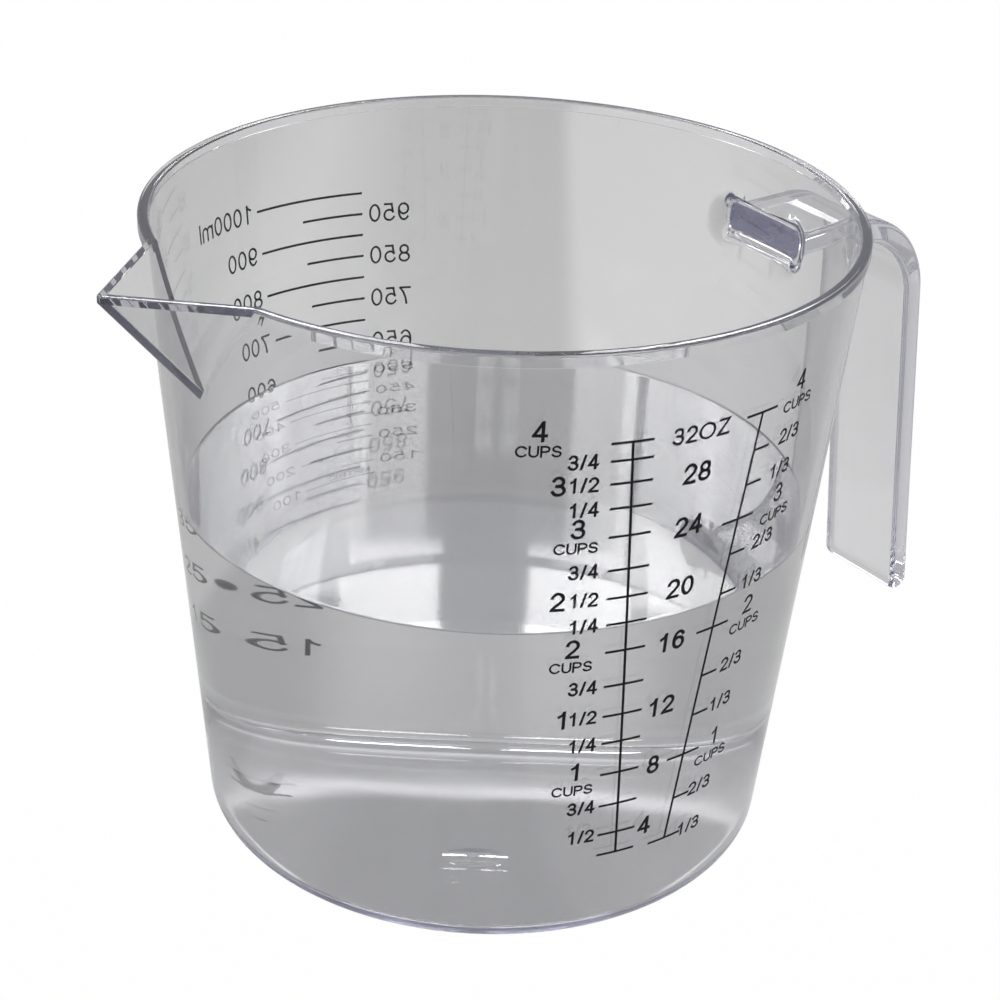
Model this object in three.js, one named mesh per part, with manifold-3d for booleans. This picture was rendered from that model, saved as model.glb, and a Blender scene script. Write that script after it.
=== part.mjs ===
import * as THREE from 'three';
import { mergeVertices } from 'three/addons/utils/BufferGeometryUtils.js';
import Module from 'manifold-3d';

// A one litre measuring jug in clear moulded plastic, with three printed scales.
// Millimetres, Z up. The jug stands on Z = 0 about the Z axis, its spout points
// along -X and its handle along +X.

const wasm = await Module();
wasm.setup();

// Driving dimensions of the vessel
const jugHeight = 121;
const baseRadius = 53.55;
const wallTopRadius = 64.6;
const wallThickness = 1.8;
const floorThickness = 3;
const footRounding = 4.8;
const floorRounding = 3.2;
const dishHeight = 10;
const rimBandHeight = 2.3;
const rimBandProud = 0.15;

// Driving dimensions of the spout, a straight-sided beak
const spoutReach = 16.2;
const spoutHalfAngle = 15.6;
const spoutDepth = 23;

// Driving dimensions of the handle, an open strap that hangs from one arm
const handleWidth = 21.2;
const handleThickness = 4.7;
const handleEdge = 1.2;
const armDrop = 14.3;
const armLength = 15.3;
const bendRadius = 19.6;
const gripLean = 5.5;
const gripEndHeight = 17.6;
const rootFillet = 4;

// Driving dimensions of the printed scales, with angles in degrees round the jug
const ladderCups = 4;
const quarterFoot = 10.4;
const thirdFoot = 9.3;
const ladderRise = 27.1;
const ladderCrowding = 0.215;
const ladderCentre = -95.2;
const ladderSpreadLow = 5.3;
const ladderSpreadHigh = 11.5;
const ladderTick = 3.7;
const metricTop = 1000;
const metricBottom = 100;
const metricStep = 50;
const metricStart = 81.1;
const metricLongTick = 23.4;
const metricShortTick = 13;
const metricTaper = 0.06;
const inkLine = 0.45;
const inkThickness = 0.2;

// Clearances
const seam = 0.3;
const inkClearance = 0.3;

// Facets
const roundSegments = 96;
const arcSteps = 5;
const bevelSteps = 2;
const levelStep = 0.02;

const clearPlastic = { color: 0xc9cdd0, roughness: 0.08, metalness: 0 };
const blackInk = { color: 0x141416, roughness: 0.6, metalness: 0 };

const radians = THREE.MathUtils.degToRad;
const wallSlope = (wallTopRadius - baseRadius) / jugHeight;
const wallLean = Math.atan(wallSlope);
const rimRadius = wallTopRadius + rimBandProud;
const rimBandFoot = jugHeight - rimBandHeight;

function wallRadius(z) {
  return baseRadius + wallSlope * z;
}

function innerRadius(z) {
  return wallRadius(z) - wallThickness;
}

// Closed solids for joining and cutting

function toSolid(geometry) {
  const bare = geometry.clone();
  bare.deleteAttribute('normal');
  bare.deleteAttribute('uv');
  const merged = mergeVertices(bare, 1e-4);
  const corners = merged.index.array;
  const kept = [];
  for (let i = 0; i < corners.length; i += 3) {
    const [a, b, c] = corners.slice(i, i + 3);
    if (a !== b && b !== c && c !== a) kept.push(a, b, c);
  }
  const mesh = new wasm.Mesh({
    numProp: 3,
    vertProperties: new Float32Array(merged.attributes.position.array),
    triVerts: new Uint32Array(kept),
  });
  return new wasm.Manifold(mesh);
}

function toGeometry(solid) {
  const mesh = solid.getMesh();
  const geometry = new THREE.BufferGeometry();
  geometry.setAttribute('position', new THREE.BufferAttribute(mesh.vertProperties, 3));
  geometry.setIndex(new THREE.BufferAttribute(mesh.triVerts, 1));
  geometry.computeVertexNormals();
  return geometry;
}

function turned(profile) {
  const geometry = new THREE.LatheGeometry(profile, roundSegments);
  geometry.rotateX(Math.PI / 2);
  return geometry;
}

// The corner where a level floor meets a leaning wall, from the floor up to the wall
function cornerArc(radiusAtZero, floorHeight, rounding) {
  const centreZ = floorHeight + rounding;
  const centreR = radiusAtZero + wallSlope * centreZ - rounding / Math.cos(wallLean);
  const points = [];
  for (let i = 0; i <= arcSteps; i += 1) {
    const angle = THREE.MathUtils.lerp(-Math.PI / 2, -wallLean, i / arcSteps);
    const r = centreR + rounding * Math.cos(angle);
    const z = centreZ + rounding * Math.sin(angle);
    points.push(new THREE.Vector2(r, z));
  }
  return points;
}

// Everything within the outside of the wall, grown by a clearance
function vesselSolid(clearance) {
  const profile = [
    new THREE.Vector2(0, -jugHeight),
    new THREE.Vector2(wallRadius(-jugHeight) + clearance, -jugHeight),
    new THREE.Vector2(wallRadius(2 * jugHeight) + clearance, 2 * jugHeight),
    new THREE.Vector2(0, 2 * jugHeight),
  ];
  return toSolid(turned(profile));
}

function baseDishGeometry() {
  const foot = cornerArc(baseRadius, 0, footRounding);
  const inside = cornerArc(baseRadius - wallThickness, floorThickness, floorRounding);
  const profile = [
    new THREE.Vector2(0, 0),
    ...foot,
    new THREE.Vector2(wallRadius(dishHeight), dishHeight),
    new THREE.Vector2(innerRadius(dishHeight), dishHeight),
    ...inside.reverse(),
    new THREE.Vector2(0, floorThickness),
  ];
  return turned(profile);
}

function ringGeometry(outerFoot, outerTop, footZ, topZ) {
  const profile = [
    new THREE.Vector2(innerRadius(footZ), footZ),
    new THREE.Vector2(outerFoot, footZ),
    new THREE.Vector2(outerTop, topZ),
    new THREE.Vector2(innerRadius(topZ), topZ),
    new THREE.Vector2(innerRadius(footZ), footZ),
  ];
  return turned(profile);
}

// The spout is a wedge with a V plan, an upright band at its lip and two flat
// cheeks that meet in a keel. A positive inset gives the channel inside it.

const spoutAngle = radians(spoutHalfAngle);
const spoutTip = rimRadius + spoutReach;
const spoutShoulderX = rimRadius * Math.cos(spoutAngle);
const spoutShoulderY = rimRadius * Math.sin(spoutAngle);
const spoutPlan = Math.atan2(spoutShoulderY, spoutTip - spoutShoulderX);
const keelFoot = jugHeight - spoutDepth;
const keelRun = spoutTip - wallRadius(keelFoot);
const keelDrop = rimBandFoot - keelFoot;
const cheekTilt = Math.atan2(keelRun * Math.sin(spoutPlan), keelDrop);

function spoutWedge(inset, topZ) {
  const tip = spoutTip - inset / Math.sin(spoutPlan);
  const bandFoot = rimBandFoot + inset * Math.tan(cheekTilt / 2);
  const back = baseRadius - rimBandProud;
  const halfWidth = (tip - back) * Math.tan(spoutPlan);
  const keelBack = bandFoot - (tip - back) * keelDrop / keelRun;
  const corners = [
    [-tip, 0, topZ], [-back, halfWidth, topZ], [-back, -halfWidth, topZ],
    [-tip, 0, bandFoot], [-back, halfWidth, bandFoot], [-back, -halfWidth, bandFoot],
    [-back, 0, keelBack],
  ];
  const faces = [
    [0, 2, 1], [0, 1, 4], [0, 4, 3], [0, 3, 5], [0, 5, 2],
    [3, 4, 6], [3, 6, 5], [1, 2, 5], [1, 5, 4], [4, 5, 6],
  ];
  const geometry = new THREE.BufferGeometry();
  geometry.setAttribute('position', new THREE.Float32BufferAttribute(corners.flat(), 3));
  geometry.setIndex(faces.flat());
  return toSolid(geometry);
}

const openTop = jugHeight + spoutDepth;
const spoutChannel = spoutWedge(wallThickness, openTop);
const wallTop = rimBandFoot - seam;
const wallFoot = dishHeight + seam;

function sideWallGeometry() {
  const ring = toSolid(ringGeometry(wallRadius(wallFoot), wallRadius(wallTop), wallFoot, wallTop));
  return toGeometry(ring.subtract(spoutChannel));
}

function rimBandGeometry() {
  const ring = toSolid(ringGeometry(rimRadius, rimRadius, rimBandFoot, jugHeight));
  return toGeometry(ring.subtract(spoutChannel));
}

function spoutGeometry() {
  const shell = spoutWedge(0, jugHeight).subtract(spoutChannel);
  return toGeometry(shell.subtract(vesselSolid(rimBandProud + seam)));
}

// The handle's outline lies in the XZ plane and is extruded across Y

function handleGeometry() {
  const armTop = jugHeight - armDrop;
  const armFoot = armTop - handleThickness;
  const innerBend = bendRadius - handleThickness;
  const bendX = wallRadius(armTop) + armLength;
  const bendZ = armTop - bendRadius;
  const lean = radians(gripLean);
  const endRadius = handleThickness / 2;
  const middleBend = bendRadius - endRadius;
  const gripLength = (bendZ + middleBend * Math.sin(lean) - gripEndHeight - endRadius) / Math.cos(lean);
  const endX = bendX + middleBend * Math.cos(lean) + gripLength * Math.sin(lean);
  const endZ = gripEndHeight + endRadius;
  const topFilletX = wallRadius(armTop) + rootFillet;
  const footFilletX = wallRadius(armFoot) + rootFillet;
  const buried = innerRadius(armFoot) - wallThickness;

  const outline = new THREE.Shape();
  outline.moveTo(buried, armTop + rootFillet);
  outline.lineTo(topFilletX - rootFillet, armTop + rootFillet);
  outline.absarc(topFilletX, armTop + rootFillet, rootFillet, Math.PI, 1.5 * Math.PI, false);
  outline.absarc(bendX, bendZ, bendRadius, Math.PI / 2, lean, true);
  outline.absarc(endX, endZ, endRadius, lean, lean - Math.PI, true);
  outline.absarc(bendX, bendZ, innerBend, lean, Math.PI / 2, false);
  outline.absarc(footFilletX, armFoot - rootFillet, rootFillet, Math.PI / 2, Math.PI, false);
  outline.lineTo(buried, armFoot - rootFillet);
  outline.closePath();

  const strap = new THREE.ExtrudeGeometry(outline, {
    depth: handleWidth - 2 * handleEdge,
    curveSegments: 2 * arcSteps,
    bevelEnabled: true,
    bevelThickness: handleEdge,
    bevelSize: handleEdge,
    bevelOffset: -handleEdge,
    bevelSegments: bevelSteps,
  });
  strap.rotateX(Math.PI / 2);
  strap.translate(0, handleWidth / 2 - handleEdge, 0);
  return toGeometry(toSolid(strap).subtract(vesselSolid(seam)));
}

// The height at which the jug holds a volume in millilitres

function levelFor(millilitres) {
  const corner = cornerArc(baseRadius - wallThickness, floorThickness, floorRounding);
  const cornerTop = corner[corner.length - 1].y;
  let z = floorThickness;
  let held = 0;
  while (held < millilitres * 1000) {
    const height = z - floorThickness - floorRounding;
    const drawnIn = floorRounding - Math.sqrt(floorRounding ** 2 - Math.min(height, 0) ** 2);
    const r = z < cornerTop ? innerRadius(z) - drawnIn : innerRadius(z);
    held += Math.PI * r * r * levelStep;
    z += levelStep;
  }
  return z;
}

// A bar of ink that follows the wall. The angles at its ends are functions of height.

function inkBar(startAngle, endAngle, footZ, topZ) {
  const span = Math.abs(endAngle(topZ) - startAngle(topZ));
  const acrossSteps = Math.max(1, Math.ceil(span * roundSegments / 360));
  const upSteps = Math.max(1, Math.ceil((topZ - footZ) / jugHeight * arcSteps));
  const geometry = new THREE.BoxGeometry(1, 1, 1, acrossSteps, 1, upSteps);
  const places = geometry.attributes.position;
  for (let i = 0; i < places.count; i += 1) {
    const z = THREE.MathUtils.lerp(footZ, topZ, places.getZ(i) + 0.5);
    const angle = radians(THREE.MathUtils.lerp(endAngle(z), startAngle(z), places.getX(i) + 0.5));
    const r = wallRadius(z) + inkClearance + (places.getY(i) + 0.5) * inkThickness;
    places.setXYZ(i, r * Math.cos(angle), r * Math.sin(angle), z);
  }
  geometry.computeVertexNormals();
  return geometry;
}

function degreesAt(z, length) {
  return THREE.MathUtils.radToDeg(length / wallRadius(z));
}

// The cup marks climb by an even rise from a foot height, and crowd together towards the rim
function cupHeight(foot, cups) {
  return foot + ladderRise * cups - ladderCrowding * cups ** 3;
}

// A cup ladder: a slanting line from its lowest to its highest tick, with a tick at each step.
// The ticks reach to the left and right of the line by the given multiples of the tick length.

function ladderGeometry(side, foot, stepsPerCup, reachFor) {
  const heights = [];
  for (let step = 1; step <= ladderCups * stepsPerCup; step += 1) {
    heights.push(cupHeight(foot, step / stepsPerCup));
  }
  const lowest = heights[0];
  const highest = heights[heights.length - 1];
  const lineAngle = (z) => {
    const spread = THREE.MathUtils.mapLinear(z, lowest, highest, ladderSpreadLow, ladderSpreadHigh);
    return ladderCentre + side * spread;
  };
  const bar = (left, right, footZ, topZ) => toSolid(inkBar(
    (z) => lineAngle(z) - degreesAt(z, left),
    (z) => lineAngle(z) + degreesAt(z, right),
    footZ,
    topZ,
  ));
  let ladder = bar(inkLine / 2, inkLine / 2, lowest - inkLine / 2, highest + inkLine / 2);
  heights.forEach((height, index) => {
    const [left, right] = reachFor(index + 1);
    ladder = ladder.add(bar(left, right, height - inkLine / 2, height + inkLine / 2));
  });
  return toGeometry(ladder);
}

const quartersPerCup = 4;
const thirdsPerCup = 3;

function quarterReach() {
  return [ladderTick, ladderTick];
}

// Thirds have a tick on one side only, apart from whole cups and the lowest mark
function thirdReach(step) {
  const crosses = step % thirdsPerCup === 0 || step === 1;
  return [crosses ? ladderTick : inkLine / 2, ladderTick];
}

// The metric scale is a column of separate ticks, long at each hundred
function metricTickGeometry(millilitres) {
  const height = levelFor(millilitres);
  const long = millilitres % (2 * metricStep) === 0;
  const taper = metricTaper * (levelFor(metricTop) - height);
  const sweep = (long ? metricLongTick : metricShortTick) - taper;
  return inkBar(
    () => metricStart,
    () => metricStart + sweep,
    height - inkLine / 2,
    height + inkLine / 2,
  );
}

const jug = new THREE.Group();

function addPiece(name, geometry, finish) {
  const piece = new THREE.Mesh(geometry, new THREE.MeshStandardMaterial(finish));
  piece.name = name;
  jug.add(piece);
}

addPiece('base_dish', baseDishGeometry(), clearPlastic);
addPiece('side_wall', sideWallGeometry(), clearPlastic);
addPiece('rim_band', rimBandGeometry(), clearPlastic);
addPiece('pouring_spout', spoutGeometry(), clearPlastic);
addPiece('handle_strap', handleGeometry(), clearPlastic);
addPiece('quarter_cup_ladder', ladderGeometry(-1, quarterFoot, quartersPerCup, quarterReach), blackInk);
addPiece('third_cup_ladder', ladderGeometry(1, thirdFoot, thirdsPerCup, thirdReach), blackInk);
for (let mark = metricBottom; mark <= metricTop; mark += metricStep) {
  addPiece(`metric_tick_${mark}`, metricTickGeometry(mark), blackInk);
}

export default jug;
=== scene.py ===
import math
import bmesh
import bpy
from mathutils import Matrix, Vector


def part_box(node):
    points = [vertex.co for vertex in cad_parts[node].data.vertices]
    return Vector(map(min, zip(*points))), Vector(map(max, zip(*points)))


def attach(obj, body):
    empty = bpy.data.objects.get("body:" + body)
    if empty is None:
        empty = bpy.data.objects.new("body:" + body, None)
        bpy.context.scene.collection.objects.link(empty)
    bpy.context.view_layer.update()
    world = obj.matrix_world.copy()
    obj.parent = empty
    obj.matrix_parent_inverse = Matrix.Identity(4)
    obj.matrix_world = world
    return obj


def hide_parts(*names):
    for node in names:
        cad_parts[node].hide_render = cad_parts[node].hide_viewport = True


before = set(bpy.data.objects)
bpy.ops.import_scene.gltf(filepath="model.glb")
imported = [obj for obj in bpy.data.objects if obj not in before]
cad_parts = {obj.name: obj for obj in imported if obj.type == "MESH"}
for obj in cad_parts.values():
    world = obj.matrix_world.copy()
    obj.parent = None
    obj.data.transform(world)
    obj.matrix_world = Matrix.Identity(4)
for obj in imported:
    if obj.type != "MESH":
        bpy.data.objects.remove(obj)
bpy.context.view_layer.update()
scene = bpy.context.scene
mm = 0.001    # sizes are in millimetres, meshes in metres
print("frame loaded:", len(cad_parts), "nodes")


# Helpers for meshes

def addObject(name, mesh, material=None):
    piece = bpy.data.objects.new(name, mesh)
    scene.collection.objects.link(piece)
    if material:
        mesh.materials.clear()
        mesh.materials.append(material)
    return piece


def meshFrom(name, points, faces):
    mesh = bpy.data.meshes.new(name)
    mesh.from_pydata([Vector(p) * mm for p in points], [], faces)
    mesh.validate()
    work = bmesh.new()
    work.from_mesh(mesh)
    bmesh.ops.recalc_face_normals(work, faces=work.faces)
    work.to_mesh(mesh)
    work.free()
    return mesh


def finalMesh(piece):
    graph = bpy.context.evaluated_depsgraph_get()
    return bpy.data.meshes.new_from_object(piece.evaluated_get(graph), depsgraph=graph)


def dropObject(piece):
    mesh = piece.data
    bpy.data.objects.remove(piece)
    if mesh.users == 0:
        bpy.data.meshes.remove(mesh)


def combine(base, tool, operation):
    cut = base.modifiers.new("combine", "BOOLEAN")
    cut.operation = operation
    cut.solver = "EXACT"
    cut.object = tool
    made = finalMesh(base)
    base.modifiers.remove(cut)
    old = base.data
    base.data = made
    bpy.data.meshes.remove(old)
    dropObject(tool)


def arcPoints(centre, radius, start, end, steps):
    points = []
    for i in range(steps + 1):
        angle = start + (end - start) * i / steps
        points.append((centre[0] + radius * math.cos(angle), centre[1] + radius * math.sin(angle)))
    return points


# A profile of radius and height, turned about the Z axis into a closed solid
def turnedSolid(name, profile, segments):
    points = []
    rings = []
    for radius, z in profile:
        if radius < 1e-6:
            rings.append([len(points)])
            points.append((0, 0, z))
            continue
        ring = []
        for i in range(segments):
            angle = 2 * math.pi * (i + 0.5) / segments
            ring.append(len(points))
            points.append((radius * math.cos(angle), radius * math.sin(angle), z))
        rings.append(ring)
    faces = []
    for low, high in zip(rings, rings[1:]):
        for i in range(segments):
            j = (i + 1) % segments
            if len(low) == 1:
                faces.append((low[0], high[j], high[i]))
            elif len(high) == 1:
                faces.append((low[i], low[j], high[0]))
            else:
                faces.append((low[i], low[j], high[j], high[i]))
    return addObject(name, meshFrom(name, points, faces))


# Sections with the same number of points, joined into a closed solid
def stackedSolid(name, sections):
    count = len(sections[0])
    points = [p for section in sections for p in section]
    faces = [tuple(range(count)), tuple(range(len(points) - count, len(points)))]
    for level in range(len(sections) - 1):
        for i in range(count):
            j = (i + 1) % count
            low = level * count
            high = low + count
            faces.append((low + i, low + j, high + j, high + i))
    return addObject(name, meshFrom(name, points, faces))


# The vessel: a tapered cup with a rounded foot and an upright band round its rim

rimLow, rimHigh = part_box("rim_band")
vessel = {
    "height": rimHigh.z / mm,
    "rimRadius": rimHigh.y / mm,
    "bandFoot": rimLow.z / mm,
    "baseRadius": 53.55,
    "wallTopRadius": 64.6,
    "wall": 1.8,
    "floor": 3.0,
    "footRounding": 4.8,
    "floorRounding": 1.2,
    "flatRing": 0.5,
    "lipRounding": 0.5,
    "bandRounding": 0.15,
    "gatePlace": (-8.5, -10.5),
    "gateRadius": 4.8,
    "gateStep": 0.2,
    "gateDepth": 0.5,
    "topRing": 4.0,
    "overcut": 4.0,
    "segments": 256,
    "wallRings": 20,
    "arcSteps": 10,
    "bandSteps": 3,
    "lipSteps": 5,
    "gateSteps": 8,
    "gateSegments": 48,
}
wallSlope = (vessel["wallTopRadius"] - vessel["baseRadius"]) / vessel["height"]
wallLean = math.atan(wallSlope)


def wallRadius(z):
    return vessel["baseRadius"] + wallSlope * z


def cornerArc(radiusAtZero, floorHeight, rounding):
    centreZ = floorHeight + rounding
    centreR = radiusAtZero + wallSlope * centreZ - rounding / math.cos(wallLean)
    return arcPoints((centreR, centreZ), rounding, -math.pi / 2, -wallLean, vessel["arcSteps"])


def risingWall(low, high, radiusAt):
    rings = vessel["wallRings"]
    heights = [low + (high - low) * i / rings for i in range(1, rings)]
    return [(radiusAt(z), z) for z in heights]


def outerBody():
    foot = cornerArc(vessel["baseRadius"], 0, vessel["footRounding"])
    bandFoot = vessel["bandFoot"]
    step = vessel["bandRounding"]
    lip = vessel["lipRounding"]
    rim = vessel["rimRadius"]
    top = vessel["height"]
    profile = [(0, 0), (foot[0][0] / 2, 0), (foot[0][0] - vessel["flatRing"], 0)]
    profile += foot
    profile += risingWall(foot[-1][1], bandFoot, wallRadius)
    profile += [(wallRadius(bandFoot), bandFoot)]
    profile += arcPoints((rim - step, bandFoot + step), step, -math.pi / 2, 0, vessel["bandSteps"])
    profile += arcPoints((rim - lip, top - lip), lip, 0, math.pi / 2, vessel["lipSteps"])
    profile += [(rim - vessel["topRing"], top), (0, top)]
    return turnedSolid("outerBody", profile, vessel["segments"])


# The gate mark is a shallow domed recess in the underside
def gateRecess():
    radius = vessel["gateRadius"]
    deep = vessel["gateDepth"]
    rise = deep - vessel["gateStep"]
    ball = (radius ** 2 + rise ** 2) / (2 * rise)
    profile = [(0, -deep), (radius, -deep)]
    start = math.acos(radius / ball)
    profile += arcPoints((0, deep - ball), ball, start, math.pi / 2, vessel["gateSteps"])
    tool = turnedSolid("gateRecess", profile, vessel["gateSegments"])
    tool.data.transform(Matrix.Translation(Vector((*vessel["gatePlace"], 0)) * mm))
    return tool


def cavityBody():
    inside = lambda z: wallRadius(z) - vessel["wall"]
    corner = cornerArc(vessel["baseRadius"] - vessel["wall"], vessel["floor"], vessel["floorRounding"])
    lip = vessel["lipRounding"]
    top = vessel["height"]
    flat = corner[0][0] - vessel["flatRing"]
    profile = [(0, vessel["floor"]), (corner[0][0] / 2, vessel["floor"]), (flat, vessel["floor"])]
    profile += corner
    profile += risingWall(corner[-1][1], top - lip, inside)
    centre = (inside(top - lip) + lip, top - lip)
    profile += arcPoints(centre, lip, math.pi, math.pi / 2, vessel["lipSteps"])
    past = top + vessel["overcut"]
    profile += [(inside(top) + lip, past), (0, past)]
    return turnedSolid("cavityBody", profile, vessel["segments"])


# The spout: a straight-sided beak with a V plan, and cheeks that meet in a keel

spout = {
    "tip": -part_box("pouring_spout")[0].x / mm,
    "halfAngle": 15.6,
    "depth": 23.0,
    "edgeDrop": 1.3,
    "tipRounding": 0.9,
    "channelRounding": 0.4,
    "lipRounding": 0.25,
    "back": 53.4,
    "shortest": 3.0,
    "overcut": 6.0,
    "tipSteps": 6,
    "lipSteps": 5,
}
shoulderX = vessel["rimRadius"] * math.cos(math.radians(spout["halfAngle"]))
shoulderY = vessel["rimRadius"] * math.sin(math.radians(spout["halfAngle"]))
spoutPlan = math.atan2(shoulderY, spout["tip"] - shoulderX)
keelFoot = vessel["height"] - spout["depth"]
keelRun = spout["tip"] - wallRadius(keelFoot)
edgeHeight = vessel["height"] - spout["edgeDrop"]
keelDrop = edgeHeight - keelFoot
cheekTilt = math.atan2(keelRun * math.sin(spoutPlan), keelDrop)


def beakSection(tip, z, rounding):
    half = (tip - spout["back"]) * math.tan(spoutPlan)
    centre = (-tip + rounding / math.sin(spoutPlan), 0)
    swing = math.pi / 2 - spoutPlan
    nose = arcPoints(centre, rounding, math.pi - swing, math.pi + swing, spout["tipSteps"])
    return [(-spout["back"], half, z)] + [(x, y, z) for x, y in nose] + [(-spout["back"], -half, z)]


# The cheeks run straight from the keel's foot up to a level
def beakBody(name, inset, rounding, level, lipSections):
    forward = lambda z: spout["tip"] + (z - edgeHeight) * keelRun / keelDrop
    setBack = inset / (math.cos(cheekTilt) * math.sin(spoutPlan))
    start = spout["back"] + spout["shortest"]
    low = edgeHeight - (spout["tip"] - setBack - start) * keelDrop / keelRun
    sections = [beakSection(start, low, rounding)]
    sections.append(beakSection(forward(level) - setBack, level, rounding))
    sections += [beakSection(tip, z, rounding) for tip, z in lipSections]
    return stackedSolid(name, sections)


# Outside, the lip stands upright above the cheeks
def beakOuter():
    lip = spout["lipRounding"]
    top = vessel["height"]
    levels = [(spout["tip"] - (lip - x) / math.sin(spoutPlan), z)
              for x, z in arcPoints((0, top - lip), lip, 0, math.pi / 2, spout["lipSteps"])]
    return beakBody("beakOuter", 0, spout["tipRounding"], edgeHeight, levels)


# Inside, the cheeks lean out all the way up, so the lip is thinner at its top
def beakChannel():
    level = vessel["height"] + spout["overcut"]
    return beakBody("beakChannel", vessel["wall"], spout["channelRounding"], level, [])


# The handle: an open strap that leaves the wall on one arm and bends down to a free end

handleLow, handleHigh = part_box("handle_strap")
handle = {
    "width": (handleHigh.y - handleLow.y) / mm,
    "thickness": 4.7,
    "edge": 1.2,
    "edgeSteps": 4,
    "armDrop": 14.3,
    "armLength": 15.3,
    "bendRadius": 19.6,
    "lean": 5.5,
    "endHeight": handleLow.z / mm,
    "rootFillet": 4.0,
    "rootReach": 7.0,
    "endTurn": 84,
    "endEdge": 0.98,
    "filletSteps": 10,
    "reachSteps": 3,
    "bendSteps": 28,
    "endSteps": 8,
}
armTop = vessel["height"] - handle["armDrop"]
armMiddle = armTop - handle["thickness"] / 2


# A rounded rectangle across the strap. Near the root it is drawn back on to the round of the wall.
def strapSection(x, z, turn, wide, thick, edge, past=math.inf):
    hold = max(0.0, 1 - max(past, 0.0) / handle["rootReach"])
    points = []
    for i, (sideY, sideN) in enumerate(((1, 1), (-1, 1), (-1, -1), (1, -1))):
        centre = (sideY * (wide - edge), sideN * (thick - edge))
        for y, n in arcPoints(centre, edge, i * math.pi / 2, (i + 1) * math.pi / 2, handle["edgeSteps"]):
            px = x + n * math.cos(turn)
            pz = z + n * math.sin(turn)
            px += hold * (math.sqrt(wallRadius(pz) ** 2 - y ** 2) - wallRadius(armMiddle))
            points.append((px, y, pz))
    return points


def handleBody():
    half = handle["thickness"] / 2
    wide = handle["width"] / 2
    edge = handle["edge"]
    fillet = handle["rootFillet"]
    bend = handle["bendRadius"] - half
    lean = math.radians(handle["lean"])
    wallX = wallRadius(armMiddle)
    up = math.pi / 2
    sections = []
    # The root swells into the wall on all sides
    rings = [(-2 * vessel["wall"], fillet)]
    for i in range(handle["filletSteps"] + 1):
        turn = up * i / handle["filletSteps"]
        rings.append((fillet * (1 - math.cos(turn)), fillet * (1 - math.sin(turn))))
    for i in range(1, handle["reachSteps"] + 1):
        rings.append((fillet + (handle["rootReach"] - fillet) * i / handle["reachSteps"], 0.0))
    for past, swell in rings:
        sections.append(strapSection(wallX + past, armMiddle, up,
                                     wide + swell, half + swell, edge + swell, past))
    # Round the bend
    bendX = wallRadius(armTop) + handle["armLength"]
    bendZ = armTop - handle["bendRadius"]
    for i in range(handle["bendSteps"] + 1):
        turn = up + (lean - up) * i / handle["bendSteps"]
        x = bendX + bend * math.cos(turn)
        z = bendZ + bend * math.sin(turn)
        sections.append(strapSection(x, z, turn, wide, half, edge))
    # Down the grip to its rounded end
    grip = (z - handle["endHeight"] - half) / math.cos(lean)
    for i in range(handle["endSteps"] + 1):
        share = math.radians(handle["endTurn"]) * i / handle["endSteps"]
        along = grip + half * math.sin(share)
        thick = half * math.cos(share)
        narrow = edge * (1 - math.cos(share))
        sections.append(strapSection(x + along * math.sin(lean), z - along * math.cos(lean), lean,
                                     wide - narrow, thick, min(edge, thick * handle["endEdge"])))
    return stackedSolid("handleBody", sections)


# Finishes

plasticLook = {
    "ior": 1.58,
    "tint": (0.845, 0.845, 0.847, 1.0),
    "absorbed": (0.22, 0.22, 0.46, 1.0),
    "density": 8.0,
    "haze": (0.43, 0.43, 0.5, 1.0),
    "hazeShare": 0.012,
    "smooth": 0.008,
    "scuffed": 0.025,
    "scuffScale": 38.0,
    "scuffDetail": 6.0,
    "scuffFrom": 0.45,
    "scuffTo": 0.75,
    "rippleScale": 26.0,
    "rippleDetail": 1.0,
    "rippleHeight": 0.000015,
    "shadow": (0.93, 0.935, 0.94, 1.0),
}


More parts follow.
